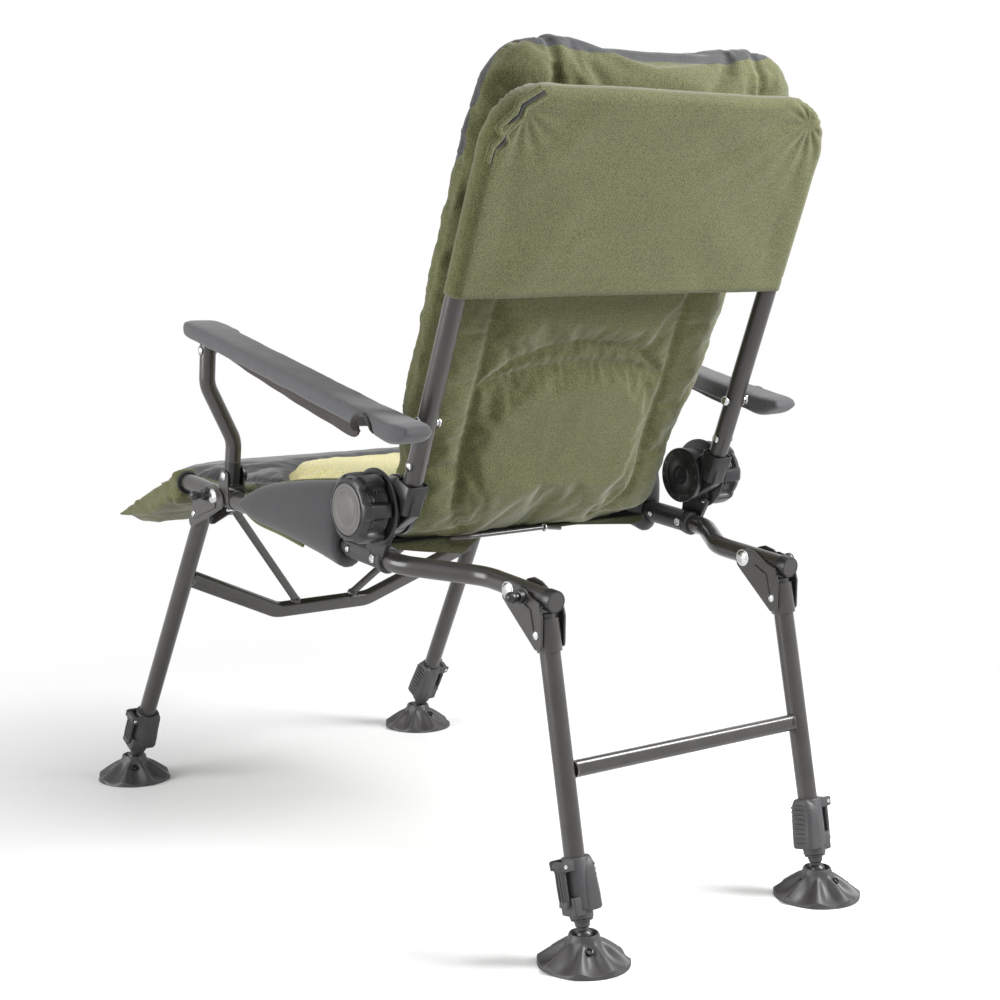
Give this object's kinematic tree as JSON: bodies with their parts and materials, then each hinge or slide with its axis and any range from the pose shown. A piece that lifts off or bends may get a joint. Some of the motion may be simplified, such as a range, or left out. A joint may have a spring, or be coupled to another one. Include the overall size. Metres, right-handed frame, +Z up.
{
  "type": "carp fishing chair",
  "caption": "Padded carp fishing chair: reclining tube frame with folding brackets, adjustable legs and swivel mud feet",
  "frame": {"origin": "on the floor, at the middle of the bounding box in x and y", "axes": "+Z up, the sitter looks along -Y, +X is the sitter's left side"},
  "size_m": [0.6512, 1.113, 1.0722],
  "materials": {
    "olive_cloth": "woven olive polyester, matt",
    "grey_neoprene": "smooth grey neoprene, matt",
    "dark_cloth": "black woven lining",
    "black_plastic": "moulded black plastic, satin",
    "black_rubber": "moulded dark rubber-like plastic",
    "zinc_steel": "bright zinc-plated steel",
    "black_tube": "satin black powder coat"
  },
  "bodies": {
    "seat": {"left_seat_tube": "black_tube", "right_seat_tube": "black_tube", "left_rear_tube": "black_tube", "right_rear_tube": "black_tube", "left_saddle": "black_tube", "right_saddle": "black_tube", "left_post_bracket": "black_tube", "right_post_bracket": "black_tube", "front_bar": "black_tube", "seat_cushion": "olive_cloth", "front_flap": "olive_cloth", "seat_sling": "dark_cloth", "sling_strap": "black_tube", "mattress_bend": "olive_cloth"},
    "back": {"left_back_tube": "black_tube", "right_back_tube": "black_tube", "left_recliner_arm": "black_plastic", "right_recliner_arm": "black_plastic", "left_hub_disc": "black_plastic", "right_hub_disc": "black_plastic", "back_top_tube": "black_tube", "back_cushion": "olive_cloth", "head_pocket": "olive_cloth"},
    "left_arm": {"left_arm_bar": "zinc_steel", "left_arm_pad": "grey_neoprene"},
    "left_post": {"left_arm_post": "black_tube"},
    "left_knob": {"left_knob": "black_plastic"},
    "right_arm": {"right_arm_bar": "zinc_steel", "right_arm_pad": "grey_neoprene"},
    "right_post": {"right_arm_post": "black_tube"},
    "right_knob": {"right_knob": "black_plastic"},
    "front_legs": {"left_front_leg": "black_tube", "right_front_leg": "black_tube", "left_front_strut": "black_tube", "right_front_strut": "black_tube", "left_front_clamp": "black_plastic", "right_front_clamp": "black_plastic", "front_cross_bar": "black_tube"},
    "rear_legs": {"left_rear_leg": "black_tube", "right_rear_leg": "black_tube", "left_rear_clamp": "black_plastic", "right_rear_clamp": "black_plastic", "rear_cross_bar": "black_tube"},
    "left_front_inner": {"left_front_inner_leg": "zinc_steel"},
    "left_front_foot": {"left_front_foot": "black_rubber"},
    "left_front_lever": {"left_front_lever": "black_plastic"},
    "left_front_lock": {"left_front_lock_pin": "zinc_steel"},
    "right_front_inner": {"right_front_inner_leg": "zinc_steel"},
    "right_front_foot": {"right_front_foot": "black_rubber"},
    "right_front_lever": {"right_front_lever": "black_plastic"},
    "right_front_lock": {"right_front_lock_pin": "zinc_steel"},
    "left_rear_inner": {"left_rear_inner_leg": "zinc_steel"},
    "left_rear_foot": {"left_rear_foot": "black_rubber"},
    "left_rear_lever": {"left_rear_lever": "black_plastic"},
    "left_rear_lock": {"left_rear_lock_pin": "zinc_steel"},
    "right_rear_inner": {"right_rear_inner_leg": "zinc_steel"},
    "right_rear_foot": {"right_rear_foot": "black_rubber"},
    "right_rear_lever": {"right_rear_lever": "black_plastic"},
    "right_rear_lock": {"right_rear_lock_pin": "zinc_steel"}
  },
  "joints": [
    {"name": "recline", "type": "hinge", "parent": "seat", "child": "back", "pos_m": [0, 0.18655, 0.507], "axis": [1, 0, 0], "range_deg": [-32, 46], "deforming": ["mattress_bend"]},
    {"name": "left_arm_turn", "type": "hinge", "parent": "back", "child": "left_arm", "pos_m": [0.3, 0.27072, 0.61615], "axis": [1, 0, 0], "range_deg": [-39, 28]},
    {"name": "left_post_turn", "type": "hinge", "parent": "seat", "child": "left_post", "pos_m": [0.255, -0.20045, 0.503], "axis": [1, 0, 0], "range_deg": [-29, 41]},
    {"name": "left_knob_turn", "type": "hinge", "parent": "seat", "child": "left_knob", "pos_m": [0.295, 0.18655, 0.507], "axis": [1, 0, 0], "continuous": true},
    {"name": "right_arm_turn", "type": "hinge", "parent": "back", "child": "right_arm", "pos_m": [-0.3, 0.27072, 0.61615], "axis": [1, 0, 0], "range_deg": [-39, 28]},
    {"name": "right_post_turn", "type": "hinge", "parent": "seat", "child": "right_post", "pos_m": [-0.255, -0.20045, 0.503], "axis": [1, 0, 0], "range_deg": [-29, 41]},
    {"name": "right_knob_turn", "type": "hinge", "parent": "seat", "child": "right_knob", "pos_m": [-0.295, 0.18655, 0.507], "axis": [1, 0, 0], "continuous": true},
    {"name": "front_fold", "type": "hinge", "parent": "seat", "child": "front_legs", "pos_m": [0, -0.22545, 0.4718], "axis": [1, 0, 0], "range_deg": [0, 105]},
    {"name": "rear_fold", "type": "hinge", "parent": "seat", "child": "rear_legs", "pos_m": [0, 0.37535, 0.42374], "axis": [-1, 0, 0], "range_deg": [0, 86.5]},
    {"name": "left_front_reach", "type": "slide", "parent": "front_legs", "child": "left_front_inner", "axis": [-0.0228, 0.4724, 0.8811], "range_m": [-0.1, 0]},
    {"name": "left_front_foot_tilt", "type": "hinge", "parent": "left_front_inner", "child": "left_front_foot", "pos_m": [0.2668, -0.50155, 0.032], "axis": [1, 0, 0], "range_deg": [-15, 15]},
    {"name": "left_front_lever_turn", "type": "hinge", "parent": "front_legs", "child": "left_front_lever", "pos_m": [0.28882, -0.46042, 0.10869], "axis": [0, -0.8813, 0.4726], "range_deg": [0, 80]},
    {"name": "left_front_lock_pull", "type": "slide", "parent": "front_legs", "child": "left_front_lock", "axis": [1, 0, 0], "range_m": [0, 0.008], "stiffness_N_per_m": 800},
    {"name": "right_front_reach", "type": "slide", "parent": "front_legs", "child": "right_front_inner", "axis": [0.0228, 0.4724, 0.8811], "range_m": [-0.1, 0]},
    {"name": "right_front_foot_tilt", "type": "hinge", "parent": "right_front_inner", "child": "right_front_foot", "pos_m": [-0.2668, -0.50155, 0.032], "axis": [1, 0, 0], "range_deg": [-15, 15]},
    {"name": "right_front_lever_turn", "type": "hinge", "parent": "front_legs", "child": "right_front_lever", "pos_m": [-0.28882, -0.46042, 0.10869], "axis": [0, 0.8813, -0.4726], "range_deg": [0, 80]},
    {"name": "right_front_lock_pull", "type": "slide", "parent": "front_legs", "child": "right_front_lock", "axis": [-1, 0, 0], "range_m": [0, 0.008], "stiffness_N_per_m": 800},
    {"name": "left_rear_reach", "type": "slide", "parent": "rear_legs", "child": "left_rear_inner", "axis": [-0.0046, -0.2062, 0.9785], "range_m": [-0.1, 0]},
    {"name": "left_rear_foot_tilt", "type": "hinge", "parent": "left_rear_inner", "child": "left_rear_foot", "pos_m": [0.1935, 0.50155, 0.032], "axis": [1, 0, 0], "range_deg": [-15, 15]},
    {"name": "left_rear_lever_turn", "type": "hinge", "parent": "rear_legs", "child": "left_rear_lever", "pos_m": [0.2171, 0.48368, 0.11675], "axis": [0, -0.9785, -0.2062], "range_deg": [0, 80]},
    {"name": "left_rear_lock_pull", "type": "slide", "parent": "rear_legs", "child": "left_rear_lock", "axis": [1, 0, 0], "range_m": [0, 0.008], "stiffness_N_per_m": 800},
    {"name": "right_rear_reach", "type": "slide", "parent": "rear_legs", "child": "right_rear_inner", "axis": [0.0046, -0.2062, 0.9785], "range_m": [-0.1, 0]},
    {"name": "right_rear_foot_tilt", "type": "hinge", "parent": "right_rear_inner", "child": "right_rear_foot", "pos_m": [-0.1935, 0.50155, 0.032], "axis": [1, 0, 0], "range_deg": [-15, 15]},
    {"name": "right_rear_lever_turn", "type": "hinge", "parent": "rear_legs", "child": "right_rear_lever", "pos_m": [-0.2171, 0.48368, 0.11675], "axis": [0, 0.9785, 0.2062], "range_deg": [0, 80]},
    {"name": "right_rear_lock_pull", "type": "slide", "parent": "rear_legs", "child": "right_rear_lock", "axis": [-1, 0, 0], "range_m": [0, 0.008], "stiffness_N_per_m": 800}
  ],
  "couplings": [
    {"joint": "left_arm_turn", "follows": "recline", "ratio": -0.844},
    {"joint": "left_post_turn", "follows": "recline", "ratio": 0.872},
    {"joint": "right_arm_turn", "follows": "recline", "ratio": -0.844},
    {"joint": "right_post_turn", "follows": "recline", "ratio": 0.872}
  ]
}
